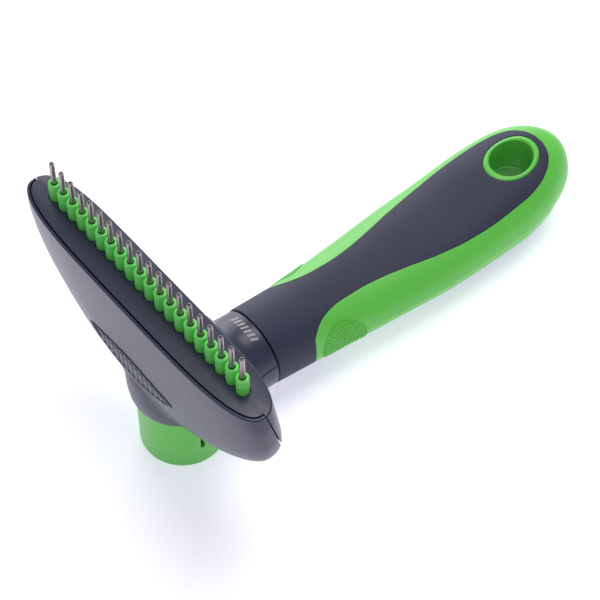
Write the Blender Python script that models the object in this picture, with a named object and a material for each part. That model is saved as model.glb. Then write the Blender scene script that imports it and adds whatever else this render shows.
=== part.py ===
"""Self-cleaning deshedding tool: twenty-pin rake head, ejector comb, push button and handle.

Metres, +Z up. The pins point up, their row runs along X and the handle runs along +Y.
The button and the underside of the handle's end stand on Z = 0.
"""
import math

import bmesh
import bpy
from mathutils import Matrix, Vector

MM = 0.001

# Frame: lengths below are in millimetres in the head's own frame, whose origin is the middle of the
# pin row on the face plane. It is placed at HEAD in the object's frame.
HEAD = (0.0, -77.75, 81.0)

# Pins and sleeves
PIN_COUNT = 20
PIN_PITCH = 4.5
PIN_R = 0.8
PIN_TIP_Z = 15.1
SLEEVE_R = 1.9
SLEEVE_BORE_R = 1.12
SLEEVE_TOP_Z = 6.25
SLEEVE_HOLE_R = 2.15
TRAVEL = 8.5

# Head shells
FACE_PLATE = (51.6, -8.15, 6.6)   # half length, front y and back y of the face plate
FACE_THICK = 2.6
GROOVE = 0.35
WALL = 1.8
# level z, half length, front y, back y of the outer shell
HULL = ((0.0, 52.8, -9.4, 7.5), (-7.0, 53.9, -9.25, 8.4), (-14.0, 54.0, -9.0, 9.7),
        (-20.0, 53.3, -8.75, 10.8), (-24.0, 52.0, -8.6, 11.4), (-28.0, 49.8, -8.35, 11.9),
        (-35.0, 44.0, -7.5, 13.0), (-42.0, 35.8, -5.9, 14.2), (-48.0, 26.0, -4.2, 15.3), (-53.0, 16.0, -3.0, 16.0))
# how square the head's outline is along X and along Y: front at the face, front at depth, back at both
FRONT_POWERS = ((4.0, 2.6), (2.4, 2.0))
BACK_POWERS = ((6.0, 2.2), (4.6, 2.7))
POWER_DEPTH = 28.0
SHELL_X = 0.5                      # middle of the head along X
# radius and level of the boss round the button
BOSS = ((9.5, -30.0), (12.8, -34.0), (14.8, -38.0), (16.0, -42.5), (16.0, -48.0), (15.6, -53.0), (15.0, -56.2),
        (14.4, -57.0))
BORE_R = 13.8
CHAMBER_R = 14.6
CHAMBER_TOP = (12.6, -38.4)        # radius and level of the chamber's tapered top
CHAMBER_SHOULDER_Z = -41.8
LIP_TOP_Z = -53.5
# neck section stations: y, half width, top z, bottom z
NECK = ((9.0, 24.0, -29.0, -53.0), (13.0, 21.5, -35.0, -55.0), (18.0, 18.2, -42.0, -57.0),
        (22.5, 15.6, -46.0, -58.5), (26.0, 14.1, -47.9, -68.0), (29.5, 13.4, -48.8, -73.6),
        (36.3, 13.1, -49.0, -75.2))
# parting profile between the shells: y, z
PARTING = ((-0.4, 12.0), (-0.4, 0.0), (1.6, -8.0), (4.0, -16.0), (6.8, -24.0), (11.5, -34.0), (19.5, -47.0),
           (26.0, -54.5), (30.0, -57.5), (60.0, -57.5))
GAP = 0.3
# badge plate: centre x and z, half length, half height above and below the centre
BADGE_CENTRE = (0.0, -29.0)
BADGE_HALF = (19.3, 4.0, 7.4)
BADGE_THICK = 1.2
BADGE_PROUD = 0.4

# Button and its spring
BUTTON_Y = 8.7
BUTTON_R = 13.5
BUTTON_BOTTOM_Z = -81.0
BUTTON_EDGE_R = 0.6
BUTTON_WALL = 1.7
FLANGE_R = 14.3
FLANGE_Z = (-53.2, -51.2)
SPRING_WIRE_R = 0.5
SPRING_R = 4.0
SPRING_TURNS = 7
SEAT_Z = -41.0

# Comb, yoke and pin carrier
RIB_X = 31.5
COMB_Z = (-15.5, -12.5)
CARRIER_Z = (-22.5, -18.5)
PRONG_X = 8.2
PRONG_Y = 4.15

# Handle: stations y, half width, top half height, bottom half height, axis z
COLLAR_Y = 36.3
COLLAR_R = 10.2
GRIP = ((37.0, 12.9, 12.8, 13.0, -62.0), (56.9, 14.3, 11.6, 10.5, -64.9), (82.6, 16.8, 11.0, 8.8, -66.9),
        (108.3, 18.6, 11.2, 10.9, -67.6), (134.0, 18.8, 12.7, 14.1, -66.5), (152.0, 16.2, 11.6, 17.2, -63.3))
GRIP_END_Y = 164.9
GRIP_ROUND_Y = 145.6
GRIP_POWER = 2.2
INLAY_DEPTH = 2.0
# inlay outline: y, half width
INLAY = ((49.6, 16.0), (50.6, 12.9), (52.6, 11.3), (55.5, 9.5), (59.0, 8.2), (65.5, 7.1), (73.0, 7.0),
         (81.5, 7.7), (91.0, 9.3), (101.5, 11.4), (113.7, 13.1), (126.0, 13.9), (138.0, 13.6), (145.0, 12.4),
         (150.0, 10.2), (153.0, 7.6), (154.9, 4.4), (155.6, 1.6))
HOLE_Y = 143.5
HOLE = (6.6, 7.5)                  # half sizes of the hanging hole along X and along Y
RING = (8.0, 9.9)                  # and of the eyelet round it
TANG_R = 5.0
TANG_START = (25.2, -60.4)
TANG_END = (112.0, -67.0)


# ---------------------------------------------------------------------------------------- basics

def place(point):
    """Head frame in millimetres to object frame in metres."""
    return Vector([(point[i] + HEAD[i]) * MM for i in range(3)])


def material(name, color, roughness, metallic=0.0):
    mat = bpy.data.materials.get(name)
    if mat:
        return mat
    mat = bpy.data.materials.new(name)
    mat.use_nodes = True
    shader = mat.node_tree.nodes["Principled BSDF"]
    shader.inputs["Base Color"].default_value = (*color, 1.0)
    shader.inputs["Roughness"].default_value = roughness
    shader.inputs["Metallic"].default_value = metallic
    return mat


DARK = ("slate_plastic", (0.062, 0.064, 0.088), 0.38)
SOFT = ("slate_rubber", (0.050, 0.052, 0.072), 0.52)
GREEN = ("green_plastic", (0.105, 0.480, 0.055), 0.36)
STEEL = ("steel", (0.62, 0.60, 0.59), 0.2, 1.0)
BLACK = ("black_plastic", (0.012, 0.012, 0.014), 0.5)
WHITE = ("natural_plastic", (0.60, 0.60, 0.56), 0.45)


def finish(bm, name, look, smooth=40.0):
    """Closed bmesh in object coordinates to a named object with a material."""
    bmesh.ops.recalc_face_normals(bm, faces=bm.faces)
    mesh = bpy.data.meshes.new(name)
    bm.to_mesh(mesh)
    bm.free()
    mesh.shade_smooth()
    mesh.set_sharp_from_angle(angle=math.radians(smooth))
    obj = bpy.data.objects.new(name, mesh)
    obj.data.materials.append(material(*look))
    bpy.context.collection.objects.link(obj)
    return obj


def loft(rings, name="tool", look=BLACK):
    """Skin closed rings of head-frame points and cap both ends."""
    bm = bmesh.new()
    loops = [[bm.verts.new(place(p)) for p in ring] for ring in rings]
    count = len(loops[0])
    for low, high in zip(loops, loops[1:]):
        for i in range(count):
            j = (i + 1) % count
            bm.faces.new((low[i], low[j], high[j], high[i]))
    bm.faces.new(loops[0])
    bm.faces.new(loops[-1])
    return finish(bm, name, look)


def turned(profile, centre, name="tool", look=BLACK, segments=24, axis=(0.0, 0.0, 1.0)):
    """Revolve (radius, height) stations about an axis through a head-frame point."""
    spin = Vector((0.0, 0.0, 1.0)).rotation_difference(Vector(axis)).to_matrix()
    rings = []
    for radius, height in profile:
        ring = []
        for i in range(segments):
            angle = 2.0 * math.pi * (i + 0.5) / segments
            offset = spin @ Vector((radius * math.cos(angle), radius * math.sin(angle), height))
            ring.append(Vector(centre) + offset)
        rings.append(ring)
    return loft(rings, name, look)


def tube(r_out, r_in, z0, z1, centre, name, look, segments=24):
    """Straight tube along Z as one closed ring of faces."""
    bm = bmesh.new()
    loops = []
    for radius, z in ((r_out, z0), (r_out, z1), (r_in, z1), (r_in, z0)):
        loops.append([bm.verts.new(place((centre[0] + radius * math.cos(2 * math.pi * i / segments),
                                          centre[1] + radius * math.sin(2 * math.pi * i / segments), z)))
                      for i in range(segments)])
    for k in range(4):
        a, b = loops[k], loops[(k + 1) % 4]
        for i in range(segments):
            j = (i + 1) % segments
            bm.faces.new((a[i], a[j], b[j], b[i]))
    return finish(bm, name, look)


def box(low, high, name="tool", look=BLACK):
    bm = bmesh.new()
    bmesh.ops.create_cube(bm, size=1.0)
    size = [(high[i] - low[i]) * MM for i in range(3)]
    middle = place([(high[i] + low[i]) / 2 for i in range(3)])
    bmesh.ops.transform(bm, matrix=Matrix.Translation(middle) @ Matrix.Diagonal((*size, 1.0)), verts=bm.verts)
    return finish(bm, name, look)


def prism(outline, axis, low, high):
    """Extrude a plane outline. axis 0: points are (y, z); axis 2: points are (x, y)."""
    def point(pair, level):
        return (level, *pair) if axis == 0 else (*pair, level)
    return loft([[point(p, low) for p in outline], [point(p, high) for p in outline]])


def combine(target, tool, operation):
    """Boolean target with tool, keep the result as plain mesh and remove the tool."""
    modifier = target.modifiers.new(operation, "BOOLEAN")
    modifier.operation = operation
    modifier.solver = "EXACT"
    modifier.object = tool
    graph = bpy.context.evaluated_depsgraph_get()
    mesh = bpy.data.meshes.new_from_object(target.evaluated_get(graph))
    target.modifiers.clear()
    old = target.data
    mesh.name = target.name
    target.data = mesh
    bpy.data.meshes.remove(old)
    bpy.data.objects.remove(tool)
    bm = bmesh.new()
    bm.from_mesh(mesh)
    bmesh.ops.remove_doubles(bm, verts=bm.verts, dist=0.000002)
    bmesh.ops.dissolve_degenerate(bm, edges=bm.edges, dist=0.000002)
    bm.to_mesh(mesh)
    bm.free()
    return target


def union(target, tool):
    return combine(target, tool, "UNION")


def subtract(target, tool):
    return combine(target, tool, "DIFFERENCE")


def keep(target, tool):
    return combine(target, tool, "INTERSECT")


def named(obj, name, look):
    obj.name = name
    obj.data.name = name
    obj.data.materials.clear()
    obj.data.materials.append(material(*look))
    obj.data.shade_smooth()
    obj.data.set_sharp_from_angle(angle=math.radians(35.0))
    return obj


def interpolate(stations, y):
    """Smooth interpolation (monotone cubic) of every column of a station table at y."""
    xs = [s[0] for s in stations]
    if y <= xs[0]:
        return stations[0][1:]
    if y >= xs[-1]:
        return stations[-1][1:]
    k = max(i for i in range(len(xs) - 1) if xs[i] <= y)
    h = xs[k + 1] - xs[k]
    t = (y - xs[k]) / h
    values = []
    for c in range(1, len(stations[0])):
        slopes = [(stations[i + 1][c] - stations[i][c]) / (xs[i + 1] - xs[i]) for i in range(len(xs) - 1)]

        def tangent(i):
            if i == 0:
                return slopes[0]
            if i == len(xs) - 1:
                return slopes[-1]
            a, b = slopes[i - 1], slopes[i]
            return 0.0 if a * b <= 0 else 2 * a * b / (a + b)
        p0, p1 = stations[k][c], stations[k + 1][c]
        m0, m1 = tangent(k) * h, tangent(k + 1) * h
        values.append((2 * t**3 - 3 * t**2 + 1) * p0 + (t**3 - 2 * t**2 + t) * m0
                      + (3 * t**2 - 2 * t**3) * p1 + (t**3 - t**2) * m1)
    return values


def power_curve(angle, power):
    c, s = math.cos(angle), math.sin(angle)
    return (math.copysign(abs(c) ** (2 / power), c), math.copysign(abs(s) ** (2 / power), s))


# ----------------------------------------------------------------------------------------- head

def lens(half_length, front, back, z, segments=36):
    """Horizontal outline of the head at one level: long sides, rounded to a blunt point at each end."""
    depth = min(max(-z / POWER_DEPTH, 0.0), 1.0)
    middle, half = (front + back) / 2, (back - front) / 2
    ring = []
    for i in range(segments):
        angle = 2 * math.pi * i / segments
        at_face, deep = FRONT_POWERS if math.sin(angle) < 0 else BACK_POWERS
        along, across = (at_face[k] + (deep[k] - at_face[k]) * depth for k in (0, 1))
        ring.append((SHELL_X + half_length * power_curve(angle, along)[0],
                     middle + half * power_curve(angle, across)[1], z))
    return ring


def hull(inset=0.0, top=0.0, levels=HULL):
    rings = []
    for z, half_length, front, back in levels:
        level = top if z == 0.0 else z + (inset if z < -40.0 else 0.0)
        rings.append(lens(half_length - inset, front + inset, back - inset, level))
    return loft(rings)


def cavity():
    return hull(WALL, -FACE_THICK, HULL[::2] + HULL[-1:])


def neck(inset=0.0):
    rings = []
    for y, half, top, bottom in NECK:
        middle, height = (top + bottom) / 2, (top - bottom) / 2
        rings.append([((half - inset) * math.cos(a), y, middle + (height - inset) * math.sin(a))
                      for a in (2 * math.pi * i / 28 for i in range(28))])
    return loft(rings)


def head_body():
    """Outer solid of the whole head, hollowed for the mechanism."""
    body = hull()
    union(body, turned(BOSS, (0, BUTTON_Y, 0), segments=32))
    union(body, neck())
    subtract(body, cavity())
    subtract(body, turned(((CHAMBER_R, LIP_TOP_Z), (CHAMBER_R, CHAMBER_SHOULDER_Z), CHAMBER_TOP),
                          (0, BUTTON_Y, 0), segments=32))
    subtract(body, turned(((BORE_R, -62.0), (BORE_R, -50.0)), (0, BUTTON_Y, 0), segments=32))
    subtract(body, tang(GAP, "cutter"))
    subtract(body, collar_groove())
    for x in (-RIB_X, RIB_X):
        rib = box((x - 1.8, -12.0, CARRIER_Z[0] - 4.5), (x + 1.8, 12.0, CARRIER_Z[0] - 0.3))
        keep(rib, hull(WALL - 0.5))
        union(body, rib)
    return body


def parting_prism(shift=0.0):
    outline = [(y - shift * 0.8, z - shift * 0.6) for y, z in PARTING] + [(60.0, 12.0)]
    return prism(outline, 0, -70.0, 70.0)


def face_prism(grow, z0, z1):
    half_length, front, back = FACE_PLATE
    outline = [(x, y) for x, y, z in lens(half_length + grow, front - grow, back + grow, 0.0)]
    return prism(outline, 2, z0, z1)


def front_shell():
    shell = head_body()
    subtract(shell, parting_prism(GAP))
    subtract(shell, face_prism(GROOVE, -FACE_THICK - 0.3, 2.0))
    pocket = badge_outline(GAP)
    subtract(pocket, hull(BADGE_THICK - BADGE_PROUD + GAP))
    subtract(shell, pocket)
    for x in (-RIB_X, RIB_X):
        subtract(shell, turned(((1.05, CARRIER_Z[0] - 6.0), (1.05, CARRIER_Z[0] + 1)), (x, 0, 0), segments=10))
    return named(shell, "front_shell", DARK)


def rear_shell():
    shell = head_body()
    keep(shell, parting_prism())
    subtract(shell, box((-60, -12, -FACE_THICK + 0.9), (60, 12, 2.0)))
    union(shell, face_prism(0.0, -FACE_THICK, 0.0))
    for i in range(PIN_COUNT):
        subtract(shell, turned(((SLEEVE_HOLE_R, -5.0), (SLEEVE_HOLE_R, 2.0)), (pin_x(i), 0, 0), segments=12))
    return named(shell, "rear_shell", DARK)


def badge_outline(grow=0.0, name="tool"):
    """Lens-shaped bar through the front wall."""
    rings = []
    for depth in (-12.0, -3.0):
        ring = []
        for i in range(24):
            c, s = power_curve(2 * math.pi * i / 24, 1.5)
            half = BADGE_HALF[1] if s > 0 else BADGE_HALF[2]
            ring.append((BADGE_CENTRE[0] + (BADGE_HALF[0] + grow) * c, depth,
                         BADGE_CENTRE[1] + (half + grow) * s))
        rings.append(ring)
    return loft(rings, name, DARK)


def front_badge():
    """Plate let into the front wall, following its curve and standing a little proud."""
    plate = badge_outline(name="front_badge")
    keep(plate, hull(-BADGE_PROUD))
    subtract(plate, hull(BADGE_THICK - BADGE_PROUD))
    return named(plate, "front_badge", DARK)


def pin_x(index):
    return (index - (PIN_COUNT - 1) / 2) * PIN_PITCH


def pins():
    for i in range(PIN_COUNT):
        profile = ((PIN_R, CARRIER_Z[0] + 1.0), (PIN_R, PIN_TIP_Z - 1.1), (PIN_R * 0.82, PIN_TIP_Z - 0.45),
                   (PIN_R * 0.38, PIN_TIP_Z))
        turned(profile, (pin_x(i), 0, 0), "pin_%02d" % (i + 1), STEEL, segments=8)


def pin_carrier():
    bar = box((-45.0, -2.4, CARRIER_Z[0]), (45.0, 2.4, CARRIER_Z[1]), "pin_carrier", WHITE)
    for i in range(PIN_COUNT):
        subtract(bar, turned(((PIN_R + 0.05, CARRIER_Z[0] + 0.7), (PIN_R + 0.05, CARRIER_Z[1] + 1)),
                             (pin_x(i), 0, 0), segments=8))
    for x in (-RIB_X, RIB_X):
        subtract(bar, turned(((0.95, CARRIER_Z[0] - 1), (0.95, CARRIER_Z[0] + 3.2)), (x, 0, 0), segments=8))
    return named(bar, "pin_carrier", WHITE)


def ejector_comb():
    bar = box((-46.0, -3.4, COMB_Z[0]), (46.0, 3.4, COMB_Z[1]), "ejector_comb", GREEN)
    for x in (-1, 1):
        union(bar, box((x * PRONG_X - 2.6, 2.0, COMB_Z[0]), (x * PRONG_X + 2.6, PRONG_Y + 1.4, COMB_Z[1])))
    for i in range(PIN_COUNT):
        union(bar, turned(((SLEEVE_R, COMB_Z[0] + 0.6), (SLEEVE_R, SLEEVE_TOP_Z - 0.3),
                           (SLEEVE_R - 0.3, SLEEVE_TOP_Z)), (pin_x(i), 0, 0), segments=12))
    for i in range(PIN_COUNT):
        subtract(bar, turned(((SLEEVE_BORE_R, COMB_Z[0] - 1), (SLEEVE_BORE_R, SLEEVE_TOP_Z + 1)),
                             (pin_x(i), 0, 0), segments=8))
    for x in (-1, 1):
        hole = ((0.85, COMB_Z[0] - 1), (0.85, COMB_Z[1] + 1))
        subtract(bar, turned(hole, (x * PRONG_X, PRONG_Y, 0), segments=10))
    return named(bar, "ejector_comb", GREEN)


# --------------------------------------------------------------------------------------- button

def push_button():
    edge = BUTTON_EDGE_R
    arc = [(BUTTON_R - edge + edge * math.sin(a), BUTTON_BOTTOM_Z + edge - edge * math.cos(a))
           for a in (math.radians(d) for d in (0, 22.5, 45, 67.5, 90))]
    profile = arc + [(BUTTON_R, FLANGE_Z[0]), (FLANGE_R, FLANGE_Z[0]), (FLANGE_R, FLANGE_Z[1])]
    cup = turned(profile, (0, BUTTON_Y, 0), "push_button", GREEN, segments=32)
    inner = BUTTON_R - BUTTON_WALL
    subtract(cup, turned(((inner - 2.0, BUTTON_BOTTOM_Z + 2.2), (inner, BUTTON_BOTTOM_Z + 4.2),
                          (inner, FLANGE_Z[1] + 1.0)), (0, BUTTON_Y, 0), segments=32))
    for x in (-1, 1):
        subtract(cup, box((x * 13.5 - 2.6, 5.7, -72.6), (x * 13.5 + 2.6, 7.1, -50.0)))
    return named(cup, "push_button", GREEN)


def push_yoke():
    ring = tube(BUTTON_R - BUTTON_WALL - 0.3, 8.0, FLANGE_Z[1] - 2.2, FLANGE_Z[1] + 0.2, (0, BUTTON_Y),
                "push_yoke", WHITE, 32)
    for x in (-1, 1):
        union(ring, box((x * PRONG_X - 1.6, PRONG_Y - 1.4, FLANGE_Z[1] - 1.2),
                        (x * PRONG_X + 1.6, PRONG_Y + 1.4, COMB_Z[0] - GAP)))
        subtract(ring, turned(((0.85, COMB_Z[0] - 8.0), (0.85, COMB_Z[0] + 1)), (x * PRONG_X, PRONG_Y, 0),
                              segments=10))
    return named(ring, "push_yoke", WHITE)


def screw(name, centre, axis, head_r, head_h, shank_r, length):
    turned(((shank_r, -length), (shank_r, 0.0), (head_r, 0.0), (head_r, head_h)), centre, name, STEEL,
           segments=12, axis=axis)


def button_spring():
    """Return spring: a helix from the cup's floor to the seat."""
    low, high = BUTTON_BOTTOM_Z + 2.2 + 0.3, SEAT_Z - 0.3
    steps = SPRING_TURNS * 9
    bm = bmesh.new()
    rings = []
    for i in range(steps + 1):
        t = i / steps
        angle = 2 * math.pi * SPRING_TURNS * t
        z = low + SPRING_WIRE_R + (high - low - 2 * SPRING_WIRE_R) * t
        out = Vector((math.cos(angle), math.sin(angle), 0))
        centre = out * SPRING_R + Vector((0, BUTTON_Y, z))
        ring = []
        for k in range(6):
            a = 2 * math.pi * k / 6
            ring.append(bm.verts.new(place(centre + out * (SPRING_WIRE_R * math.cos(a))
                                           + Vector((0, 0, SPRING_WIRE_R * math.sin(a))))))
        rings.append(ring)
    for a, b in zip(rings, rings[1:]):
        for k in range(6):
            j = (k + 1) % 6
            bm.faces.new((a[k], a[j], b[j], b[k]))
    bm.faces.new(rings[0])
    bm.faces.new(rings[-1])
    return finish(bm, "button_spring", STEEL)


def spring_seat():
    seat = turned(((5.6, SEAT_Z), (5.6, SEAT_Z + 2.0)), (0, BUTTON_Y, 0), "spring_seat", WHITE, 24)
    union(seat, turned(((2.9, SEAT_Z - 6.0), (2.9, SEAT_Z + 1.0)), (0, BUTTON_Y, 0), segments=16))
    union(seat, box((-2.0, BUTTON_Y, SEAT_Z), (2.0, BUTTON_Y + CHAMBER_TOP[0] - 0.2, SEAT_Z + 2.0)))
    return named(seat, "spring_seat", WHITE)


# --------------------------------------------------------------------------------------- handle

def grip_values(y):
    half, top, bottom, axis = interpolate(GRIP, y)
    if y > GRIP_ROUND_Y:
        fall = math.sqrt(max(0.0, 1 - ((y - GRIP_ROUND_Y) / (GRIP_END_Y - GRIP_ROUND_Y)) ** 2))
        return half * fall, top * fall ** 0.6, bottom * fall ** 0.6, axis
    return half, top, bottom, axis


def grip_solid(inset=0.0, start=None, segments=26):
    """Handle outer form, or the same form inset all round."""
    first = GRIP[0][0]
    straight = [first + (GRIP_ROUND_Y - first) * i / 11 for i in range(11)]
    straight[0] = first if start is None else start
    end = GRIP_END_Y - inset
    rounded = [GRIP_ROUND_Y + (end - GRIP_ROUND_Y) * math.sin(math.radians(d))
               for d in (0, 18, 36, 52, 67, 79, 87)]
    rings = []
    for y in straight + rounded:
        half, top, bottom, axis = grip_values(y)
        ring = []
        for i in range(segments):
            c, s = power_curve(2 * math.pi * i / segments, GRIP_POWER)
            height = (top if s > 0 else bottom) - inset
            ring.append((max(half - inset, 0.6) * c, y, axis + max(height, 0.6) * s))
        rings.append(ring)
    return loft(rings)


def inlay_prism(grow=0.0):
    right = [(w + grow, y) for y, w in INLAY]
    right[-1] = (right[-1][0], right[-1][1] + grow)
    outline = [(22.0, 30.0), (22.0, INLAY[0][0] - 0.6 + grow)] + right
    outline += [(-x, y) for x, y in reversed(outline)]
    return prism(outline, 2, -90.0, -40.0)


def hole_tool(sizes, grow=0.0):
    angles = [2 * math.pi * i / 28 for i in range(28)]
    outline = [((sizes[0] + grow) * math.cos(a), HOLE_Y + (sizes[1] + grow) * math.sin(a)) for a in angles]
    return prism(outline, 2, -95.0, -40.0)


def tang(grow=0.0, name="tang"):
    start, end = Vector((0, *TANG_START)), Vector((0, *TANG_END))
    axis = (end - start).normalized()
    length = (end - start).length
    profile = ((8.4 + grow, -grow), (8.4 + grow, 3.0 + grow), (TANG_R + grow, 3.0 + grow),
               (TANG_R + grow, length + grow))
    return turned(profile, start, name, STEEL, 20, axis)


def tang_point(y):
    t = (y - TANG_START[0]) / (TANG_END[0] - TANG_START[0])
    return (0.0, y, TANG_START[1] + (TANG_END[1] - TANG_START[1]) * t)


def drilled_tang():
    rod = tang()
    subtract(rod, cross_pin(0.05, "cutter"))
    return named(rod, "tang", STEEL)


def cross_pin(grow=0.0, name="tang_pin"):
    centre = tang_point(98.0)
    profile = ((1.6 + grow, -11.0 - grow), (1.6 + grow, 11.0 + grow))
    return turned(profile, centre, name, STEEL, 12, (1.0, 0.0, 0.0))


def grip_overmould():
    skin = grip_solid()
    subtract(skin, grip_solid(INLAY_DEPTH, start=GRIP[0][0] - 0.5))
    keep(skin, inlay_prism())
    subtract(skin, hole_tool(RING, GAP))
    return named(skin, "grip_overmould", SOFT)


def handle_core(upper):
    core = grip_solid(INLAY_DEPTH + GAP, start=GRIP[0][0] + 1.3)
    outer = grip_solid(start=GRIP[0][0] + 1.0)
    subtract(outer, inlay_prism(GAP))
    union(core, outer)
    subtract(core, tang(GAP, "cutter"))
    subtract(core, collar_groove())
    subtract(core, cross_pin(0.05, "cutter"))
    subtract(core, hole_tool(RING, GAP))
    line = [(33.0 + 6.5 * i, grip_values(33.0 + 6.5 * i)[3]) for i in range(21)] + [(170.0, GRIP[-1][4])]
    shift, far = (GAP / 2, -30.0) if upper else (-GAP / 2, -100.0)
    half = prism([(y, z + shift) for y, z in line] + [(170.0, far), (33.0, far)], 0, -31.0, 29.0)
    keep(core, half)
    return named(core, "handle_core_upper" if upper else "handle_core_lower", GREEN)


def hang_ring():
    ring = grip_solid()
    keep(ring, hole_tool(RING))
    subtract(ring, hole_tool(HOLE))
    return named(ring, "hang_ring", GREEN)


def collar_turn(grow, name="tool"):
    """Short round piece where neck and grip meet, or the groove for it."""
    profile = ((COLLAR_R + grow, -1.0 - grow), (COLLAR_R + grow, 1.5 + grow))
    return turned(profile, (0, COLLAR_Y, GRIP[0][4]), name, BLACK, 28, (0.0, 1.0, 0.0))


def collar_ring():
    """Ring that fills the joint between neck and grip, in a groove of each."""
    ring = collar_turn(0.0, "collar_ring")
    subtract(ring, tang(GAP, "cutter"))
    return named(ring, "collar_ring", BLACK)


def collar_groove():
    return collar_turn(GAP)


def clear_scene():
    for obj in list(bpy.data.objects):
        bpy.data.objects.remove(obj)


def main():
    clear_scene()
    front_shell()
    rear_shell()
    front_badge()
    pins()
    pin_carrier()
    ejector_comb()
    push_button()
    push_yoke()
    button_spring()
    spring_seat()
    for x, side in ((-1, "l"), (1, "r")):
        screw("carrier_screw_" + side, (x * RIB_X, 0, CARRIER_Z[0] - 4.6), (0, 0, -1), 1.7, 1.0, 0.8, 7.0)
        screw("yoke_screw_" + side, (x * PRONG_X, PRONG_Y, COMB_Z[1] + 0.05), (0, 0, 1), 1.4, 0.9, 0.8, 9.0)
    grip_overmould()
    handle_core(True)
    handle_core(False)
    hang_ring()
    drilled_tang()
    cross_pin()
    collar_ring()


main()
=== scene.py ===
"""Looks of the self-cleaning deshedding tool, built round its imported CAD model.

The shells, the grip and the small parts are rebuilt here as finely curved meshes with rounded
edges; the parts inside the tool keep their CAD shapes and get finished materials. Lengths below
are in millimetres in the head's own frame: its origin is the middle of the pin row on the face
plane, +X runs along the row, +Y along the handle and +Z the way the pins point.
"""
import math

import bmesh
import bpy
from mathutils import Matrix, Vector
from mathutils.bvhtree import BVHTree


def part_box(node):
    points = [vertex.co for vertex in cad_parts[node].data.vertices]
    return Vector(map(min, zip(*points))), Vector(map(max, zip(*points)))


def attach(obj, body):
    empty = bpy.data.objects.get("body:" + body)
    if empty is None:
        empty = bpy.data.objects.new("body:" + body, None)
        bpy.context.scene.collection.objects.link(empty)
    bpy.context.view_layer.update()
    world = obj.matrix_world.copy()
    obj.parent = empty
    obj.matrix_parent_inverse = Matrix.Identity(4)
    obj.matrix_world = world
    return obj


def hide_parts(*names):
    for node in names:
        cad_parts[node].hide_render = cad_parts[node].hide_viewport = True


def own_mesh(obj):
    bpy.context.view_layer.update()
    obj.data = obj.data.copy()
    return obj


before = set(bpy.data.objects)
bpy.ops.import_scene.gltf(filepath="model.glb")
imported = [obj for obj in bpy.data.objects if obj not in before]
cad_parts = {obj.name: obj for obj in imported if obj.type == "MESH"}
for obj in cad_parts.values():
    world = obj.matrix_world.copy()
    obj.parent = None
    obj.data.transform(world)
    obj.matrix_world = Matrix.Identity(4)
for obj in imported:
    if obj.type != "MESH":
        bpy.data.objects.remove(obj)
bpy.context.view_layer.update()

MM = 0.001
BODY, SLIDER = "tool_body", "button_slider"
PIN_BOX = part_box("pin_01")
HEAD = Vector((0.0, (PIN_BOX[0][1] + PIN_BOX[1][1]) / 2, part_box("rear_shell")[1][2]))
FINE = 0.15      # voxel size for the badge's relief, mm

# Pins, sleeves and comb
PIN_COUNT = 20
PIN_PITCH = 4.5
PIN_R = 0.8
PIN_TIP_Z = 15.1
PIN_FOOT_Z = -21.5
SLEEVE_R = 1.9
SLEEVE_BORE_R = 1.0
SLEEVE_TOP_Z = 6.25
SLEEVE_HOLE_R = 2.12
COMB_Z = (-15.5, -12.5)
COMB_HALF = (46.0, 3.4)
PRONG = (8.2, 4.15)                     # the yoke's prongs under the comb: x and y
LUG_HALF = 2.6                          # half width of the comb's lugs over them
SCREW_HOLE_R = 0.85

# Head: level z, half length, front y, back y
FACE_PLATE = (51.6, -8.15, 6.6)          # half length, front y, back y
FACE_THICK = 2.6
HULL = ((0.0, 52.8, -9.4, 7.5), (-7.0, 53.9, -9.25, 8.4), (-14.0, 54.0, -9.0, 9.7),
        (-20.0, 53.3, -8.75, 10.8), (-24.0, 52.0, -8.6, 11.4), (-28.0, 49.8, -8.35, 11.9),
        (-35.0, 44.0, -7.5, 13.0), (-42.0, 35.8, -5.9, 14.2), (-48.0, 26.0, -4.2, 15.3),
        (-53.0, 16.0, -3.0, 16.0))
# how square the outline is along X and along Y, at the face and at POWER_DEPTH below it
FRONT_POWERS = ((4.0, 2.6), (2.4, 2.0))
BACK_POWERS = ((6.0, 2.2), (4.6, 2.7))
SHELL_X = 0.5                           # middle of the head along X
POWER_DEPTH = 28.0
GROOVE = 0.35
SEAM = 0.34
WALL = 1.8
# edge roundings: level z, growth of the outline
RIM_EDGE = ((-1.0, 0.03), (-0.45, 0.02), (-0.30, -0.03), (-0.15, -0.13), (-0.05, -0.27), (0.0, -0.45))
PLATE_EDGE = ((-FACE_THICK, 0.0), (-0.22, 0.0), (-0.10, -0.03), (-0.03, -0.10), (0.0, -0.22))
RECESS_EDGE = ((-FACE_THICK - 0.3, GROOVE), (-0.30, GROOVE), (-0.12, GROOVE + 0.06), (0.0, GROOVE + 0.22),
               (6.0, GROOVE + 0.3))
# boss round the button: level z, radius
BOSS = ((-30.0, 9.5), (-34.0, 12.8), (-38.0, 14.8), (-42.5, 16.0), (-48.0, 16.0), (-53.0, 15.6),
        (-56.2, 15.0), (-57.0, 14.4))
BORE_R = 13.75
CHAMBER_R = 14.5
LIP_TOP_Z = -53.5
# neck: y, half width, top z, bottom z
NECK = ((9.0, 24.0, -29.0, -53.0), (13.0, 21.5, -35.0, -55.0), (18.0, 18.2, -42.0, -57.0),
        (22.5, 15.6, -46.0, -58.5), (26.0, 14.1, -47.9, -68.0), (29.5, 13.4, -48.8, -73.6),
        (36.3, 13.1, -49.0, -75.2))
NECK_END_Y = 36.5
NECK_END = (13.1, -62.1)                # radius of the neck's end and level of its axis
# parting surface between the shells: depth below the face, y
PARTING = ((0.0, -0.4), (8.0, 1.6), (16.0, 4.0), (24.0, 6.8), (34.0, 11.5), (47.0, 19.5),
           (54.5, 26.0), (57.5, 30.0))

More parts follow.
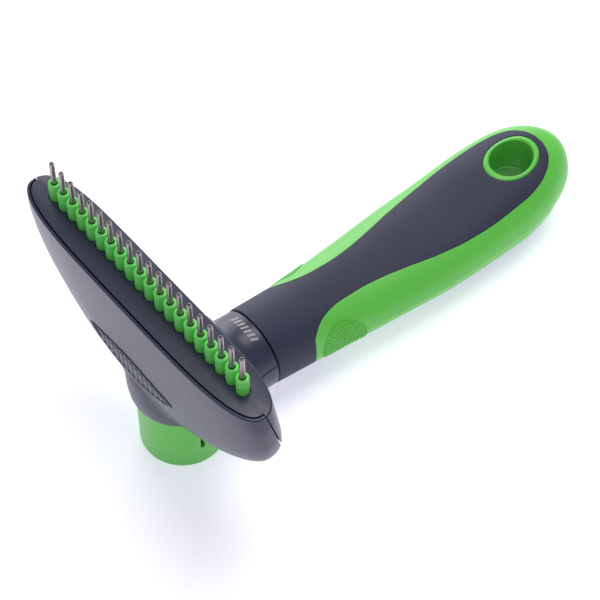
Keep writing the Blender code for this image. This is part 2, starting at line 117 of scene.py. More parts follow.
# Badge: centre x and z, half length, half height above and below the centre
BADGE_CENTRE = (0.0, -29.0)
BADGE_HALF = (19.3, 4.0, 7.4)

# Button
BUTTON_Y = 8.7
BUTTON_R = 13.5
BUTTON_BOTTOM_Z = -81.0
BUTTON_EDGE_R = 0.6
BUTTON_WALL = 1.7
FLANGE_R = 14.25
FLANGE_Z = (-53.2, -51.2)
SPRING_Z = (-78.5, -41.3)               # ends of the spring at rest
SPRING_R = 4.0
SPRING_WIRE_R = 0.5
SPRING_TURNS = 7

# Handle: y, half width, height above and below the axis, axis z
GRIP = ((37.0, 12.9, 12.8, 13.0, -62.0), (56.9, 14.3, 11.6, 10.5, -64.9), (82.6, 16.8, 11.0, 8.8, -66.9),
        (108.3, 18.6, 11.2, 10.9, -67.6), (134.0, 18.8, 12.7, 14.1, -66.5), (152.0, 16.2, 11.6, 17.2, -63.3))
GRIP_END_Y = 164.85
GRIP_START_Y = 36.9
GRIP_ROUND_Y = 145.6
GRIP_POWER = 2.2
# inlay outline: y, half width
INLAY = ((49.6, 16.0), (50.6, 12.9), (52.6, 11.3), (55.5, 9.5), (59.0, 8.2), (65.5, 7.1), (73.0, 7.0),
         (81.5, 7.7), (91.0, 9.3), (101.5, 11.4), (113.7, 13.1), (126.0, 13.9), (138.0, 13.6), (145.0, 12.4),
         (150.0, 10.2), (153.0, 7.6), (154.9, 4.4), (155.6, 1.6))
HOLE_Y = 143.5
HOLE = (6.6, 7.5)                       # half sizes of the hanging hole along X and along Y
RING = (8.0, 9.9)                       # and of the eyelet round it
PAD_CENTRE = (61.5, -0.4)               # thumb pad: y, height above the handle's axis
PAD_R = 8.2

# Camera, round the head's frame
CAMERA_AZIMUTH = 50.24
CAMERA_ELEVATION = 54.41
CAMERA_ROLL = 0.33
CAMERA_DISTANCE = 583.3
CAMERA_AIM = (28.77, 31.33, -1.49)
CAMERA_LENS = 126.5


# --------------------------------------------------------------------------------- mesh basics

def place(point):
    """Head frame in millimetres to world metres."""
    return HEAD + Vector(point) * MM


def to_object(bm, name):
    bmesh.ops.recalc_face_normals(bm, faces=bm.faces)
    mesh = bpy.data.meshes.new(name)
    bm.to_mesh(mesh)
    bm.free()
    mesh.shade_smooth()
    obj = bpy.data.objects.new(name, mesh)
    bpy.context.collection.objects.link(obj)
    return obj


def loft(rings, name="tool"):
    """Closed solid through equal rings of points, with flat ends."""
    bm = bmesh.new()
    rows = [[bm.verts.new(place(p)) for p in ring] for ring in rings]
    count = len(rows[0])
    for a, b in zip(rows, rows[1:]):
        for i in range(count):
            j = (i + 1) % count
            bm.faces.new((a[i], a[j], b[j], b[i]))
    bm.faces.new(rows[0])
    bm.faces.new(rows[-1])
    return to_object(bm, name)


def turned(profile, centre, name="tool", segments=96, axis=(0.0, 0.0, 1.0)):
    """Solid of revolution: profile is (radius, height) from one end to the other."""
    turn = Vector((0, 0, 1)).rotation_difference(Vector(axis)).to_matrix()
    rings = []
    for radius, height in profile:
        rings.append([Vector(centre) + turn @ Vector((radius * math.cos(a), radius * math.sin(a), height))
                      for a in (2 * math.pi * i / segments for i in range(segments))])
    return loft(rings, name)


def prism(outline, axis, low, high, name="tool"):
    """Solid with a flat outline, run along one axis."""
    def point(pair, level):
        values = list(pair)
        values.insert(axis, level)
        return values
    return loft([[point(p, low) for p in outline], [point(p, high) for p in outline]], name)


def block(low, high, name="tool"):
    corners = ((low[0], low[1]), (high[0], low[1]), (high[0], high[1]), (low[0], high[1]))
    return prism(corners, 2, low[2], high[2], name)


def apply_modifiers(obj):
    graph = bpy.context.evaluated_depsgraph_get()
    mesh = bpy.data.meshes.new_from_object(obj.evaluated_get(graph))
    old = obj.data
    obj.modifiers.clear()
    obj.data = mesh
    bpy.data.meshes.remove(old)


def combine(target, tool, operation, keep_tool=False):
    modifier = target.modifiers.new("combine", "BOOLEAN")
    modifier.operation = operation
    modifier.solver = "MANIFOLD"
    modifier.object = tool
    apply_modifiers(target)
    if not keep_tool:
        bpy.data.objects.remove(tool)


def union(target, tool):
    combine(target, tool, "UNION")


def subtract(target, tool):
    combine(target, tool, "DIFFERENCE")


def common(target, tool):
    combine(target, tool, "INTERSECT")


def copy_of(obj, name="tool"):
    twin = bpy.data.objects.new(name, obj.data.copy())
    bpy.context.collection.objects.link(twin)
    return twin


def soften(obj, voxel, passes):
    """Even small faces all over, then smoothing, which rounds every edge and corner."""
    remesh = obj.modifiers.new("remesh", "REMESH")
    remesh.mode = "VOXEL"
    remesh.voxel_size = voxel * MM
    smooth = obj.modifiers.new("smooth", "SMOOTH")
    smooth.factor = 0.5
    smooth.iterations = passes
    apply_modifiers(obj)


def swollen(obj, by):
    """Copy of a body with its surface moved outwards."""
    twin = copy_of(obj)
    displace = twin.modifiers.new("swell", "DISPLACE")
    displace.mid_level = 0.0
    displace.strength = by * MM
    apply_modifiers(twin)
    return twin


def smooth_shaded(obj, angle=35.0):
    obj.data.shade_smooth()
    obj.data.set_sharp_from_angle(angle=math.radians(angle))


def finished(obj, name, look, body, nodes=()):
    """Names a piece, gives it its material and ties it to the CAD model."""
    obj.name = name
    obj.data.name = name
    obj.data.materials.clear()
    obj.data.materials.append(look)
    smooth_shaded(obj)
    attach(obj, body)
    if nodes:
        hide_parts(*nodes)
    return obj


def interpolate(stations, at):
    """Smooth monotone interpolation of every column of a station table."""
    xs = [s[0] for s in stations]
    if xs[0] > xs[-1]:
        stations, xs = stations[::-1], xs[::-1]
    if at <= xs[0]:
        return stations[0][1:]
    if at >= xs[-1]:
        return stations[-1][1:]
    k = max(i for i in range(len(xs) - 1) if xs[i] <= at)
    h = xs[k + 1] - xs[k]
    t = (at - xs[k]) / h
    return [blend_column(stations, xs, c, k, h, t) for c in range(1, len(stations[0]))]


def blend_column(stations, xs, c, k, h, t):
    slopes = [(stations[i + 1][c] - stations[i][c]) / (xs[i + 1] - xs[i]) for i in range(len(xs) - 1)]

    def tangent(i):
        if i in (0, len(xs) - 1):
            return slopes[min(i, len(slopes) - 1)]
        a, b = slopes[i - 1], slopes[i]
        return 0.0 if a * b <= 0 else 2 * a * b / (a + b)
    return ((2 * t**3 - 3 * t**2 + 1) * stations[k][c] + (t**3 - 2 * t**2 + t) * tangent(k) * h
            + (3 * t**2 - 2 * t**3) * stations[k + 1][c] + (t**3 - t**2) * tangent(k + 1) * h)


def spread(start, end, count):
    return [start + (end - start) * i / count for i in range(count + 1)]


def power_curve(angle, power):
    c, s = math.cos(angle), math.sin(angle)
    return math.copysign(abs(c) ** (2 / power), c), math.copysign(abs(s) ** (2 / power), s)


# ----------------------------------------------------------------------------------- materials

def shader_node(tree, kind, **values):
    node = tree.nodes.new(kind)
    for key, value in values.items():
        if key in node.inputs:
            node.inputs[key].default_value = value
        else:
            setattr(node, key, value)
    return node


def new_material(name, color, roughness, **settings):
    mat = bpy.data.materials.new(name)
    mat.use_nodes = True
    shader = mat.node_tree.nodes["Principled BSDF"]
    shader.inputs["Base Color"].default_value = (*color, 1.0)
    shader.inputs["Roughness"].default_value = roughness
    for key, value in settings.items():
        shader.inputs[key.replace("_", " ")].default_value = value
    return mat


def noise(tree, coordinates, scale, detail=3.0, roughness=0.55):
    node = shader_node(tree, "ShaderNodeTexNoise", Scale=scale, Detail=detail, Roughness=roughness)
    tree.links.new(coordinates.outputs["Object"], node.inputs["Vector"])
    return node


def mapped(tree, source, low, high):
    node = shader_node(tree, "ShaderNodeMapRange")
    node.inputs["From Min"].default_value = 0.3
    node.inputs["From Max"].default_value = 0.7
    node.inputs["To Min"].default_value = low
    node.inputs["To Max"].default_value = high
    tree.links.new(source, node.inputs["Value"])
    return node.outputs["Result"]


def moulded(name, color, roughness, grain, spread_of_tone, bump, **settings):
    """Moulded plastic: fine spark-eroded grain, faint mottling and uneven gloss."""
    mat = new_material(name, color, roughness, **settings)
    tree = mat.node_tree
    shader = tree.nodes["Principled BSDF"]
    coordinates = tree.nodes.new("ShaderNodeTexCoord")
    fine = noise(tree, coordinates, grain)
    broad = noise(tree, coordinates, 45.0, 4.0)
    tone = shader_node(tree, "ShaderNodeMix", data_type="RGBA")
    darker = [c * (1 - spread_of_tone) for c in color]
    lighter = [c * (1 + spread_of_tone) for c in color]
    tone.inputs[6].default_value = (*darker, 1.0)
    tone.inputs[7].default_value = (*lighter, 1.0)
    tree.links.new(mapped(tree, broad.outputs["Fac"], 0.2, 0.8), tone.inputs[0])
    speckle = shader_node(tree, "ShaderNodeMix", data_type="RGBA", blend_type="MULTIPLY")
    speckle.inputs[0].default_value = 1.0
    shade = shader_node(tree, "ShaderNodeCombineColor")
    level = mapped(tree, fine.outputs["Fac"], 1 - spread_of_tone, 1 + spread_of_tone)
    for channel in ("Red", "Green", "Blue"):
        tree.links.new(level, shade.inputs[channel])
    tree.links.new(tone.outputs[2], speckle.inputs[6])
    tree.links.new(shade.outputs["Color"], speckle.inputs[7])
    tree.links.new(speckle.outputs[2], shader.inputs["Base Color"])
    gloss = mapped(tree, fine.outputs["Fac"], roughness - 0.05, roughness + 0.07)
    tree.links.new(gloss, shader.inputs["Roughness"])
    relief = shader_node(tree, "ShaderNodeBump", Strength=bump)
    relief.inputs["Distance"].default_value = 0.0001
    tree.links.new(fine.outputs["Fac"], relief.inputs["Height"])
    tree.links.new(relief.outputs["Normal"], shader.inputs["Normal"])
    return mat


def polished_steel():
    """Drawn and tumbled wire: fine lengthwise lines and slightly uneven gloss."""
    mat = new_material("steel", (0.36, 0.31, 0.31), 0.3, Metallic=1.0)
    tree = mat.node_tree
    shader = tree.nodes["Principled BSDF"]
    coordinates = tree.nodes.new("ShaderNodeTexCoord")
    stretch = shader_node(tree, "ShaderNodeMapping")
    stretch.inputs["Scale"].default_value = (5000.0, 5000.0, 260.0)
    tree.links.new(coordinates.outputs["Object"], stretch.inputs["Vector"])
    lines = shader_node(tree, "ShaderNodeTexNoise", Scale=1.0, Detail=2.0)
    tree.links.new(stretch.outputs["Vector"], lines.inputs["Vector"])
    tree.links.new(mapped(tree, lines.outputs["Fac"], 0.22, 0.36), shader.inputs["Roughness"])
    relief = shader_node(tree, "ShaderNodeBump", Strength=0.12)
    relief.inputs["Distance"].default_value = 0.00003
    tree.links.new(lines.outputs["Fac"], relief.inputs["Height"])
    tree.links.new(relief.outputs["Normal"], shader.inputs["Normal"])
    return mat


SLATE = moulded("slate_plastic", (0.023, 0.025, 0.058), 0.31, 2600.0, 0.10, 0.28)
BADGE_SLATE = moulded("badge_plastic", (0.038, 0.043, 0.078), 0.34, 2600.0, 0.10, 0.20)
RUBBER = moulded("slate_rubber", (0.030, 0.032, 0.064), 0.55, 3200.0, 0.13, 0.40, Specular_IOR_Level=0.30)
GREEN = moulded("green_plastic", (0.120, 0.560, 0.066), 0.36, 1500.0, 0.04, 0.10, Subsurface_Weight=0.12,
                Subsurface_Scale=0.002)
SLEEVE_GREEN = moulded("green_sleeves", (0.150, 0.700, 0.130), 0.42, 1500.0, 0.05, 0.14,
                       Subsurface_Weight=0.15, Subsurface_Scale=0.002)
# darker, yellower green for the thumb pads' field; its darkness is painted shade between the raised dots
PAD_SHADE_GREEN = moulded("green_pad_painted_shade", (0.080, 0.470, 0.024), 0.45, 1500.0, 0.04, 0.10)
# lighter green for the handle's mould line: a painted highlight along the ridge
LINE_HIGHLIGHT_GREEN = moulded("green_line_painted_highlight", (0.300, 0.800, 0.200), 0.40, 1500.0, 0.04, 0.05)
NATURAL = moulded("natural_plastic", (0.60, 0.60, 0.56), 0.45, 1800.0, 0.03, 0.12)
BLACK = moulded("black_plastic", (0.012, 0.012, 0.014), 0.50, 2000.0, 0.10, 0.20)
PRINT = moulded("silver_print", (0.34, 0.33, 0.34), 0.45, 2500.0, 0.10, 0.15)
STEEL = polished_steel()


# ---------------------------------------------------------------------------------------- head

def lens(half_length, front, back, z, segments=200):
    """Horizontal outline of the head at one level: long sides, rounded to a blunt point at each end."""
    depth = min(max(-z / POWER_DEPTH, 0.0), 1.0)
    middle, half = (front + back) / 2, (back - front) / 2
    ring = []
    for i in range(segments):
        angle = 2 * math.pi * i / segments
        at_face, deep = FRONT_POWERS if math.sin(angle) < 0 else BACK_POWERS
        along, across = (at_face[k] + (deep[k] - at_face[k]) * depth for k in (0, 1))
        ring.append((SHELL_X + half_length * power_curve(angle, along)[0],
                     middle + half * power_curve(angle, across)[1], z))
    return ring


def hull_outline(z, grow, segments=200):
    half_length, front, back = interpolate(HULL, z)
    return lens(half_length + grow, front - grow, back + grow, z, segments)


def hull(inset=0.0, top=8.0, steps=60, segments=200):
    rings = []
    for z in spread(top, HULL[-1][0], steps):
        ring = hull_outline(z, -inset, segments)
        lift = inset if z < -40.0 else 0.0
        rings.append([(x, y, level + lift) for x, y, level in ring])
    return loft(rings)


def neck():
    rings = []
    for y in spread(NECK[0][0], NECK_END_Y + 6.0, 40):
        half, top, bottom = interpolate(NECK, y)
        middle, height = (top + bottom) / 2, (top - bottom) / 2
        rings.append([(half * math.cos(a), y, middle + height * math.sin(a))
                      for a in (2 * math.pi * i / 96 for i in range(96))])
    return loft(rings)


def boss():
    profile = [(interpolate(BOSS, z)[0], z) for z in spread(BOSS[0][0], BOSS[-1][0], 30)]
    return turned(profile, (0, BUTTON_Y, 0))


def swept_by(form, obj):
    """Moves the surface points of obj that sank inside form back out to form's surface, near the face."""
    tree = BVHTree.FromPolygons([v.co for v in form.data.vertices], [p.vertices for p in form.data.polygons])
    for vertex in obj.data.vertices:
        share = min(max((vertex.co.z - HEAD.z) / MM + 42.0, 0.0) / 12.0, 1.0)
        point, normal, _, _ = tree.find_nearest(vertex.co)
        if share > 0 and (vertex.co - point).dot(normal) < 0:
            vertex.co = vertex.co.lerp(point, share)
    bpy.data.objects.remove(form)


def head_mass():
    """Solid of the whole head with its parts run together smoothly and its rim and collar edges rounded."""
    mass = hull()
    union(mass, boss())
    union(mass, neck())
    soften(mass, 0.7, 14)
    swept_by(hull(), mass)
    around_rim = block((-70, -30, RIM_EDGE[1][0]), (70, 60, 20.0))
    subtract(around_rim, loft([hull_outline(z, grow) for z, grow in RIM_EDGE]))
    subtract(mass, around_rim)
    around_collar = block((-30, NECK_END_Y - 0.35, -90.0), (30, 60, -30.0))
    end_r, end_z = NECK_END
    subtract(around_collar, turned(((end_r + 0.2, NECK_END_Y - 1.0), (end_r + 0.2, NECK_END_Y - 0.35),
                                    (end_r - 0.06, NECK_END_Y - 0.2), (end_r - 0.15, NECK_END_Y - 0.08),
                                    (end_r - 0.24, NECK_END_Y)), (0, 0, end_z), axis=(0.0, 1.0, 0.0)))
    subtract(mass, around_collar)
    return mass


def parting_prism(shift):
    depths = spread(0.0, PARTING[-1][0], 40)
    line = []
    for depth in depths:
        gap = shift * (1.0 + min(depth, 22.0) / 22.0)
        line.append((interpolate(PARTING, depth)[0] - gap * 0.8, -depth - gap * 0.6))
    outline = [(line[0][0], 12.0)] + line + [(70.0, line[-1][1]), (70.0, 12.0)]
    return prism(outline, 0, -70.0, 70.0)


def face_form(edge):
    rings = []
    for z, grow in edge:
        half_length, front, back = FACE_PLATE
        rings.append([(x, y, z) for x, y, _ in lens(half_length + grow, front - grow, back + grow, 0.0)])
    return loft(rings)


def hollow(shell):
    """Cuts the space for the comb, the pins' carrier, the yoke and the button."""
    subtract(shell, hull(WALL, -FACE_THICK, 12, 64))
    subtract(shell, turned(((CHAMBER_R, LIP_TOP_Z), (CHAMBER_R, -41.8), (12.6, -38.4)), (0, BUTTON_Y, 0)))
    subtract(shell, turned(((BORE_R + 0.5, -60.0), (BORE_R + 0.5, -57.2), (BORE_R, -56.7), (BORE_R, -50.0)),
                           (0, BUTTON_Y, 0)))


def badge_lens(grow=0.0):
    """Lens-shaped bar through the front wall."""
    rings = []
    for depth in (-13.0, -3.0):
        ring = []
        for i in range(96):
            c, s = power_curve(2 * math.pi * i / 96, 1.5)
            half = BADGE_HALF[1] if s > 0 else BADGE_HALF[2]
            ring.append((BADGE_CENTRE[0] + (BADGE_HALF[0] + grow) * c, depth,
                         BADGE_CENTRE[1] + (half + grow) * s))
        rings.append(ring)
    return loft(rings)


def front_shell(mass):
    shell = copy_of(mass)
    subtract(shell, parting_prism(SEAM))
    subtract(shell, face_form(RECESS_EDGE))
    pocket = badge_lens(0.28)
    subtract(pocket, hull(1.2, top=-5.0, steps=40))
    subtract(shell, pocket)
    hollow(shell)
    finished(shell, "front_shell_skin", SLATE, BODY, ("front_shell",))


def rear_shell(mass):
    shell = copy_of(mass)
    common(shell, parting_prism(0.0))
    union(shell, face_form(PLATE_EDGE))
    hollow(shell)
    hole = ((SLEEVE_HOLE_R, -6.0), (SLEEVE_HOLE_R, -0.15), (SLEEVE_HOLE_R + 0.1, -0.04),
            (SLEEVE_HOLE_R + 0.2, 2.0))
    for x in pin_places():
        subtract(shell, turned(hole, (x, 0, 0), segments=48))
    finished(shell, "rear_shell_skin", SLATE, BODY, ("rear_shell",))


def gathered(parts):
    """One object out of several overlapping solids."""
    first = parts[0]
    for part in parts[1:]:
        union(first, part)
    return first


def front_badge():
    """Plate with a raised border and a row of plain raised bars."""
    plate = badge_lens(0.0)
    common(plate, hull(0.12, top=-5.0, steps=40))
    relief = badge_lens(0.0)
    subtract(relief, badge_lens(-0.85))
    bars = []
    for i in range(-6, 7):
        x = BADGE_CENTRE[0] + i * 2.3
        outline = ((x - 1.3, -40.0), (x - 0.2, -40.0), (x + 3.1, -20.0), (x + 2.0, -20.0))
        bars.append(prism(outline, 1, -13.0, -3.0))
    bars = gathered(bars)
    common(bars, badge_lens(-1.9))
    union(relief, bars)
    common(relief, hull(-0.30, top=-5.0, steps=40))
    union(plate, relief)
    subtract(plate, hull(1.1, top=-5.0, steps=40))
    soften(plate, FINE, 3)
    finished(plate, "front_badge_plate", BADGE_SLATE, BODY, ("front_badge",))


def neck_print(mass):
    """Small pad-printed row of slanted bars on top of the neck."""
    bars = []
    for i in range(7):
        x = -4.9 + i * 1.6
        outline = ((x - 0.8, 32.4), (x, 32.4), (x + 0.8, 34.8), (x, 34.8))
        bars.append(prism(outline, 2, -60.0, -40.0))
    bars = gathered(bars)
    common(bars, swollen(mass, 0.03))
    subtract(bars, swollen(mass, -0.3))
    finished(bars, "neck_print", PRINT, BODY)


# ------------------------------------------------------------------------------- pins and comb

def pin_places():
    return [(i - (PIN_COUNT - 1) / 2) * PIN_PITCH for i in range(PIN_COUNT)]


def pins():
    tip = [(PIN_R * math.cos(a), PIN_TIP_Z - 1.0 + math.sin(a)) for a in
           (math.radians(d) for d in (0, 12, 24, 36, 48, 60))]
    profile = [(PIN_R, PIN_FOOT_Z)] + tip + [(0.34, PIN_TIP_Z - 0.12), (0.32, PIN_TIP_Z - 1.6)]
    for number, x in enumerate(pin_places(), 1):
        pin = turned(profile, (x, 0, 0), segments=32)
        finished(pin, "pin_%02d_wire" % number, STEEL, BODY, ("pin_%02d" % number,))


def sleeve_profiles():
    edge = 0.38
    outer = [(SLEEVE_R - edge + edge * math.cos(a), SLEEVE_TOP_Z - edge + edge * math.sin(a))
             for a in (math.radians(d) for d in (0, 22, 45, 68, 90))]
    bore = ((SLEEVE_BORE_R, COMB_Z[0] - 1.0), (SLEEVE_BORE_R, SLEEVE_TOP_Z - 0.22),
            (SLEEVE_BORE_R + 0.08, SLEEVE_TOP_Z - 0.06), (SLEEVE_BORE_R + 0.3, SLEEVE_TOP_Z + 0.2))
    return [(SLEEVE_R, COMB_Z[0] + 0.5)] + outer, bore


def ejector_comb():
    outer, bore = sleeve_profiles()
    comb = block((-COMB_HALF[0], -COMB_HALF[1], COMB_Z[0]), (COMB_HALF[0], COMB_HALF[1], COMB_Z[1]))
    for x in (-PRONG[0], PRONG[0]):
        union(comb, block((x - LUG_HALF, 2.0, COMB_Z[0]), (x + LUG_HALF, PRONG[1] + 1.4, COMB_Z[1])))
    for x in pin_places():
        union(comb, turned(outer, (x, 0, 0), segments=48))
        subtract(comb, turned(bore, (x, 0, 0), segments=36))
    screw_hole = ((SCREW_HOLE_R, COMB_Z[0] - 1), (SCREW_HOLE_R, COMB_Z[1] + 1))
    for x in (-PRONG[0], PRONG[0]):
        subtract(comb, turned(screw_hole, (x, PRONG[1], 0), segments=24))
    finished(comb, "ejector_comb_sleeves", SLEEVE_GREEN, SLIDER, ("ejector_comb",))


def push_button():
    edge = BUTTON_EDGE_R
    arc = [(BUTTON_R - edge + edge * math.sin(a), BUTTON_BOTTOM_Z + edge - edge * math.cos(a))
           for a in (math.radians(d) for d in range(0, 91, 9))]
    flange = [(BUTTON_R, FLANGE_Z[0]), (FLANGE_R, FLANGE_Z[0]), (FLANGE_R, FLANGE_Z[1])]
    cup = turned(arc + flange, (0, BUTTON_Y, 0), segments=128)
    inner = BUTTON_R - BUTTON_WALL
    subtract(cup, turned(((inner - 2.0, BUTTON_BOTTOM_Z + 2.2), (inner, BUTTON_BOTTOM_Z + 4.2),
                          (inner, FLANGE_Z[1] + 1.0)), (0, BUTTON_Y, 0), segments=96))
    for side in (-1, 1):
        subtract(cup, block((side * 13.5 - 2.6, 5.7, -72.6), (side * 13.5 + 2.6, 7.1, -50.0)))
    finished(cup, "push_button_cap", GREEN, SLIDER, ("push_button",))


def button_spring():
    """Return spring, shown at rest between the button and its fixed upper end."""
    low, high = SPRING_Z
    rings = []
    for along in spread(0.0, 1.0, SPRING_TURNS * 36):
        turn = 2 * math.pi * SPRING_TURNS * along
        out = Vector((math.cos(turn), math.sin(turn), 0))
        centre = Vector((0, BUTTON_Y, low + SPRING_WIRE_R + (high - low - 2 * SPRING_WIRE_R) * along))
        rings.append([centre + out * (SPRING_R + SPRING_WIRE_R * math.cos(a))
                      + Vector((0, 0, SPRING_WIRE_R * math.sin(a)))
                      for a in (2 * math.pi * k / 12 for k in range(12))])
    spring = finished(loft(rings), "button_spring_coil", STEEL, BODY, ("button_spring",))
    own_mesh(spring)


# -------------------------------------------------------------------------------------- handle

def grip_values(y):
    half, top, bottom, axis = interpolate(GRIP, y)
    if y > GRIP_ROUND_Y:
        fall = math.sqrt(max(0.0, 1 - ((y - GRIP_ROUND_Y) / (GRIP_END_Y - GRIP_ROUND_Y)) ** 2))
        return half * fall, top * fall ** 0.6, bottom * fall ** 0.6, axis
    return half, top, bottom, axis


def grip_ring(y, inset):
    half, top, bottom, axis = grip_values(y)
    ring = []
    for i in range(128):
        c, s = power_curve(2 * math.pi * (i + 0.5) / 128, GRIP_POWER)
        height = (top if s > 0 else bottom) - inset
        ring.append((max(half - inset, 0.6) * c, y, axis + max(height, 0.6) * s))
    return ring


def grip_solid(inset=0.0, start=GRIP_START_Y, rounded_start=False):
    """Handle outer form, or the same form inset all round."""
    end = GRIP_END_Y - inset
    stations = spread(start + 0.6, GRIP_ROUND_Y, 70)
    stations += [GRIP_ROUND_Y + (end - GRIP_ROUND_Y) * math.sin(math.radians(d)) for d in range(3, 89, 3)]
    edge = ((0.0, 0.22), (0.05, 0.13), (0.12, 0.05), (0.2, 0.01)) if rounded_start else ((0.0, 0.0),)
    return loft([grip_ring(start + along, inset + fall) for along, fall in edge]
                + [grip_ring(y, inset) for y in stations])


def inlay_prism(grow=0.0):
    ys = spread(INLAY[0][0], 150.0, 60) + spread(150.8, INLAY[-1][0], 8)
    right = [(interpolate(INLAY, y)[0] + grow, y) for y in ys]
    right[-1] = (right[-1][0], right[-1][1] + grow)
    outline = [(22.0, 30.0), (22.0, INLAY[0][0] - 0.6 + grow)] + right
    outline += [(-x, y) for x, y in reversed(outline)]
    return prism(outline, 2, -95.0, -35.0)


def hole_outline(half_x, half_y, z):
    return [(half_x * math.sin(a), HOLE_Y + half_y * math.cos(a), z)
            for a in (2 * math.pi * i / 120 for i in range(120))]


def hole_tool(clearance):
    half_x, half_y = RING[0] + clearance, RING[1] + clearance
    return loft([hole_outline(half_x, half_y, -95.0), hole_outline(half_x, half_y, -40.0)])


def grip_overmould():
    grip = grip_solid(rounded_start=True)
    common(grip, inlay_prism(-0.06))
    subtract(grip, hole_tool(0.12))
    subtract(grip, grip_solid(2.0, GRIP_START_Y - 1.0))
    finished(grip, "grip_overmould_skin", RUBBER, BODY, ("grip_overmould",))


def handle_core():
    """The green body of the handle, moulded in two halves."""
    core = grip_solid(0.05, GRIP_START_Y + 1.0)
    groove = inlay_prism(0.04)
    subtract(groove, grip_solid(2.1, GRIP_START_Y + 0.5))
    subtract(core, groove)
    subtract(core, hole_tool(0.12))
    ys = spread(GRIP[0][0] - 2.0, GRIP_END_Y + 4.0, 60)
    line = [(y, interpolate(GRIP, y)[3]) for y in ys]
    upper = copy_of(core)
    common(upper, prism(line + [(ys[-1], -30.0), (ys[0], -30.0)], 0, -40.0, 40.0))
    common(core, prism(line + [(ys[-1], -100.0), (ys[0], -100.0)], 0, -40.0, 40.0))
    finished(upper, "handle_core_upper_half", GREEN, BODY, ("handle_core_upper",))
    finished(core, "handle_core_lower_half", GREEN, BODY, ("handle_core_lower",))


def grip_height(x, y, above):
    """Level of the handle's upper or lower surface at one place."""
    half, top, bottom, axis = grip_values(y)
    share = min(abs(x) / half, 0.999) ** GRIP_POWER
    rise = (1 - share) ** (1 / GRIP_POWER)
    return axis + top * rise if above else axis - bottom * rise


def hang_ring():
    """Eyelet lining the hole: a rolled rim at both ends and a step half way down its bore."""
    middle, step = -66.0, 0.35
    # share of the way from the bore to the outside, and height above the handle's surface
    rim = ((0.0, -0.8), (0.03, -0.35), (0.15, 0.0), (0.35, 0.18), (0.6, 0.18), (0.8, 0.06), (0.95, -0.12),
           (1.0, -0.4))
    sections = []
    for i in range(120):
        c, s = math.cos(2 * math.pi * i / 120), math.sin(2 * math.pi * i / 120)
        section = [((HOLE[0] - step) * s, HOLE_Y + (HOLE[1] - step) * c, middle - 0.1),
                   (HOLE[0] * s, HOLE_Y + HOLE[1] * c, middle + 0.05)]
        for above, order in ((True, rim), (False, rim[::-1])):
            for share, rise in order:
                inner = 0.0 if above else step * (1.0 - share)
                x = (HOLE[0] + (RING[0] - HOLE[0]) * share - inner) * s
                y = HOLE_Y + (HOLE[1] + (RING[1] - HOLE[1]) * share - inner) * c
                section.append((x, y, grip_height(x, y, above) + (rise if above else -rise)))
        sections.append(section)
    bm = bmesh.new()
    rows = [[bm.verts.new(place(p)) for p in section] for section in sections]
    for a, b in zip(rows, rows[1:] + rows[:1]):
        for k in range(len(a)):
            m = (k + 1) % len(a)
            bm.faces.new((a[k], a[m], b[m], b[k]))
    finished(to_object(bm, "tool"), "hang_ring_eyelet", GREEN, BODY, ("hang_ring",))


def grip_side(y, drop):
    """Point on the handle's side, and its outward normal, drop millimetres above the axis."""
    half, top, bottom, axis = grip_values(y)
    height = top if drop > 0 else bottom
    share = abs(drop / height) ** GRIP_POWER
    x = half * (1 - share) ** (1 / GRIP_POWER)
    slope_z = abs(drop / height) ** (GRIP_POWER - 1) / height * math.copysign(1, drop)
    slope_x = (x / half) ** (GRIP_POWER - 1) / half
    return Vector((x, y, axis + drop)), Vector((slope_x, 0, slope_z)).normalized()


def thumb_pad(side, name):
    """Rings of small raised dots on the handle's side, standing on a slightly raised round field whose darker
    green is painted shade between the dots.
    """
    def on_pad(radius, angle, lift):
        point, normal = grip_side(PAD_CENTRE[0] + radius * math.cos(angle),
                                  PAD_CENTRE[1] + radius * math.sin(angle))
        point += normal * lift
        return Vector((point.x * side, point.y, point.z)), Vector((normal.x * side, normal.y, normal.z))

    rim = [(0.3, -0.4), (PAD_R, -0.4), (PAD_R, 0.0)]
    steps = [(radius, 0.05) for radius in spread(PAD_R - 0.12, 0.3, 16)]
    field = loft([[on_pad(radius, 2 * math.pi * i / 90, lift)[0] for i in range(90)]
                  for radius, lift in rim + steps])
    finished(field, name + "_field", PAD_SHADE_GREEN, BODY)
    bm = bmesh.new()
    for ring in range(9):
        radius = 0.4 + ring * 0.95
        count = max(1, round(2 * math.pi * radius / 1.05))
        for i in range(count):
            point, normal = on_pad(radius, 2 * math.pi * i / count, 0.06)
            turn = Vector((0, 0, 1)).rotation_difference(normal).to_matrix().to_4x4()
            size = Matrix.Diagonal((0.38 * MM, 0.38 * MM, 0.24 * MM, 1.0))
            bmesh.ops.create_uvsphere(bm, u_segments=10, v_segments=6, radius=1.0,
                                      matrix=Matrix.Translation(place(point)) @ turn @ size)
    finished(to_object(bm, name), name, GREEN, BODY)


def mould_line():
    """Fine raised line where the halves of the handle meet, along the sides and round the end, coloured a
    lighter green as a painted highlight along the ridge.
    """
    path = [(grip_values(y)[0], y) for y in spread(69.5, GRIP_ROUND_Y, 50)]
    half = grip_values(GRIP_ROUND_Y)[0]
    for degrees in range(3, 90, 3):
        y = GRIP_ROUND_Y + (GRIP_END_Y - GRIP_ROUND_Y) * math.sin(math.radians(degrees))
        path.append((grip_values(y)[0], y))
    path.append((0.0, GRIP_END_Y - 0.02))
    path += [(-x, y) for x, y in path[-2::-1]]
    rings = []
    for i, (x, y) in enumerate(path):
        a, b = path[max(i - 1, 0)], path[min(i + 1, len(path) - 1)]
        along = Vector((b[0] - a[0], b[1] - a[1], 0)).normalized()
        out = Vector((along.y, -along.x, 0))
        z = interpolate(GRIP, y)[3]
        rings.append([Vector((x, y, z)) + out * (0.12 * math.cos(t) - 0.04)
                      + Vector((0, 0, 0.22 * math.sin(t)))
                      for t in (2 * math.pi * k / 10 for k in range(10))])
    finished(loft(rings), "mould_line", LINE_HIGHLIGHT_GREEN, BODY)


# ------------------------------------------------------------------------ inner parts and stage

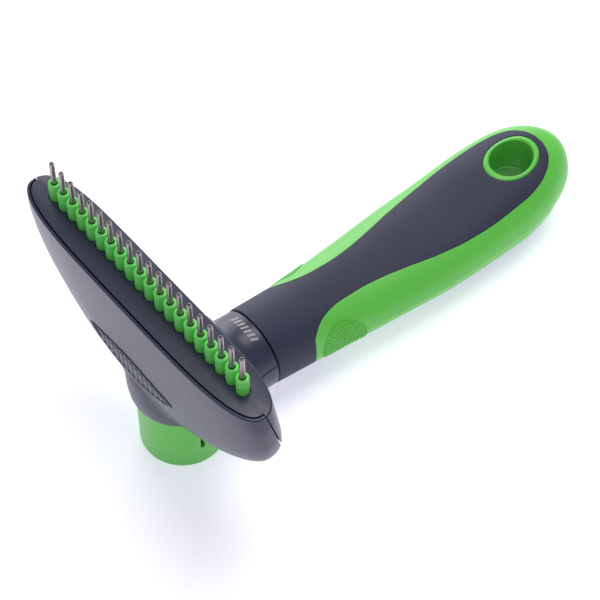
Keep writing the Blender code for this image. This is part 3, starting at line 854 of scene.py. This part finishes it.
def inner_parts():
    """The parts inside the tool stay as the CAD made them, with finished materials."""
    looks = {"pin_carrier": NATURAL, "carrier_screw_l": STEEL, "carrier_screw_r": STEEL, "push_yoke": NATURAL,
             "yoke_screw_l": STEEL, "yoke_screw_r": STEEL, "spring_seat": NATURAL,
             "tang": STEEL, "tang_pin": STEEL, "collar_ring": BLACK}
    for node, look in looks.items():
        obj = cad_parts[node]
        for index in range(max(1, len(obj.material_slots))):
            obj.material_slots[index].material = look


def floor():
    bm = bmesh.new()
    bmesh.ops.create_grid(bm, x_segments=1, y_segments=1, size=3.0)
    plane = to_object(bm, "floor")
    glow = {"Emission_Color": (0.94, 0.91, 1.12, 1.0), "Emission_Strength": 0.50}
    plane.data.materials.append(new_material("pale_floor", (0.88, 0.88, 0.89), 0.75, **glow))


def area_light(name, place_at, aim, size, power, color=(1.0, 1.0, 1.0)):
    light = bpy.data.lights.new(name, "AREA")
    light.shape = "DISK"
    light.size = size
    light.energy = power
    light.color = color
    obj = bpy.data.objects.new(name, light)
    obj.location = place_at
    obj.rotation_euler = (Vector(aim) - Vector(place_at)).to_track_quat("-Z", "Y").to_euler()
    bpy.context.collection.objects.link(obj)


def studio():
    world = bpy.data.worlds.new("studio")
    world.use_nodes = True
    background = world.node_tree.nodes["Background"]
    background.inputs["Color"].default_value = (0.97, 0.97, 1.0, 1.0)
    background.inputs["Strength"].default_value = 0.42
    bpy.context.scene.world = world
    area_light("top", (-0.05, 0.22, 1.25), (0.0, 0.0, 0.03), 0.8, 7.6)
    area_light("left", (-1.1, 0.6, 0.5), (0.0, 0.0, 0.05), 1.1, 9.0)


def camera():
    azimuth, elevation, roll = (math.radians(v) for v in (CAMERA_AZIMUTH, CAMERA_ELEVATION, CAMERA_ROLL))
    back = Vector((math.sin(azimuth) * math.cos(elevation), -math.cos(azimuth) * math.cos(elevation),
                   math.sin(elevation)))
    level = Vector((math.cos(azimuth), math.sin(azimuth), 0))
    steep = back.cross(level)
    right = level * math.cos(roll) + steep * math.sin(roll)
    up = steep * math.cos(roll) - level * math.sin(roll)
    eye = place(Vector(CAMERA_AIM) + back * CAMERA_DISTANCE)
    data = bpy.data.cameras.new("camera")
    data.sensor_width = 36.0
    data.lens = CAMERA_LENS
    data.clip_start = 0.01
    obj = bpy.data.objects.new("camera", data)
    obj.matrix_world = Matrix(((right.x, up.x, back.x, eye.x), (right.y, up.y, back.y, eye.y),
                               (right.z, up.z, back.z, eye.z), (0, 0, 0, 1)))
    bpy.context.collection.objects.link(obj)
    bpy.context.scene.camera = obj


def main():
    bpy.context.scene.view_settings.view_transform = "Standard"
    camera()
    studio()
    floor()
    mass = head_mass()
    front_shell(mass)
    rear_shell(mass)
    neck_print(mass)
    bpy.data.objects.remove(mass)
    front_badge()
    pins()
    ejector_comb()
    push_button()
    button_spring()
    grip_overmould()
    handle_core()
    hang_ring()
    thumb_pad(1, "thumb_pad_right")
    thumb_pad(-1, "thumb_pad_left")
    mould_line()
    inner_parts()


main()
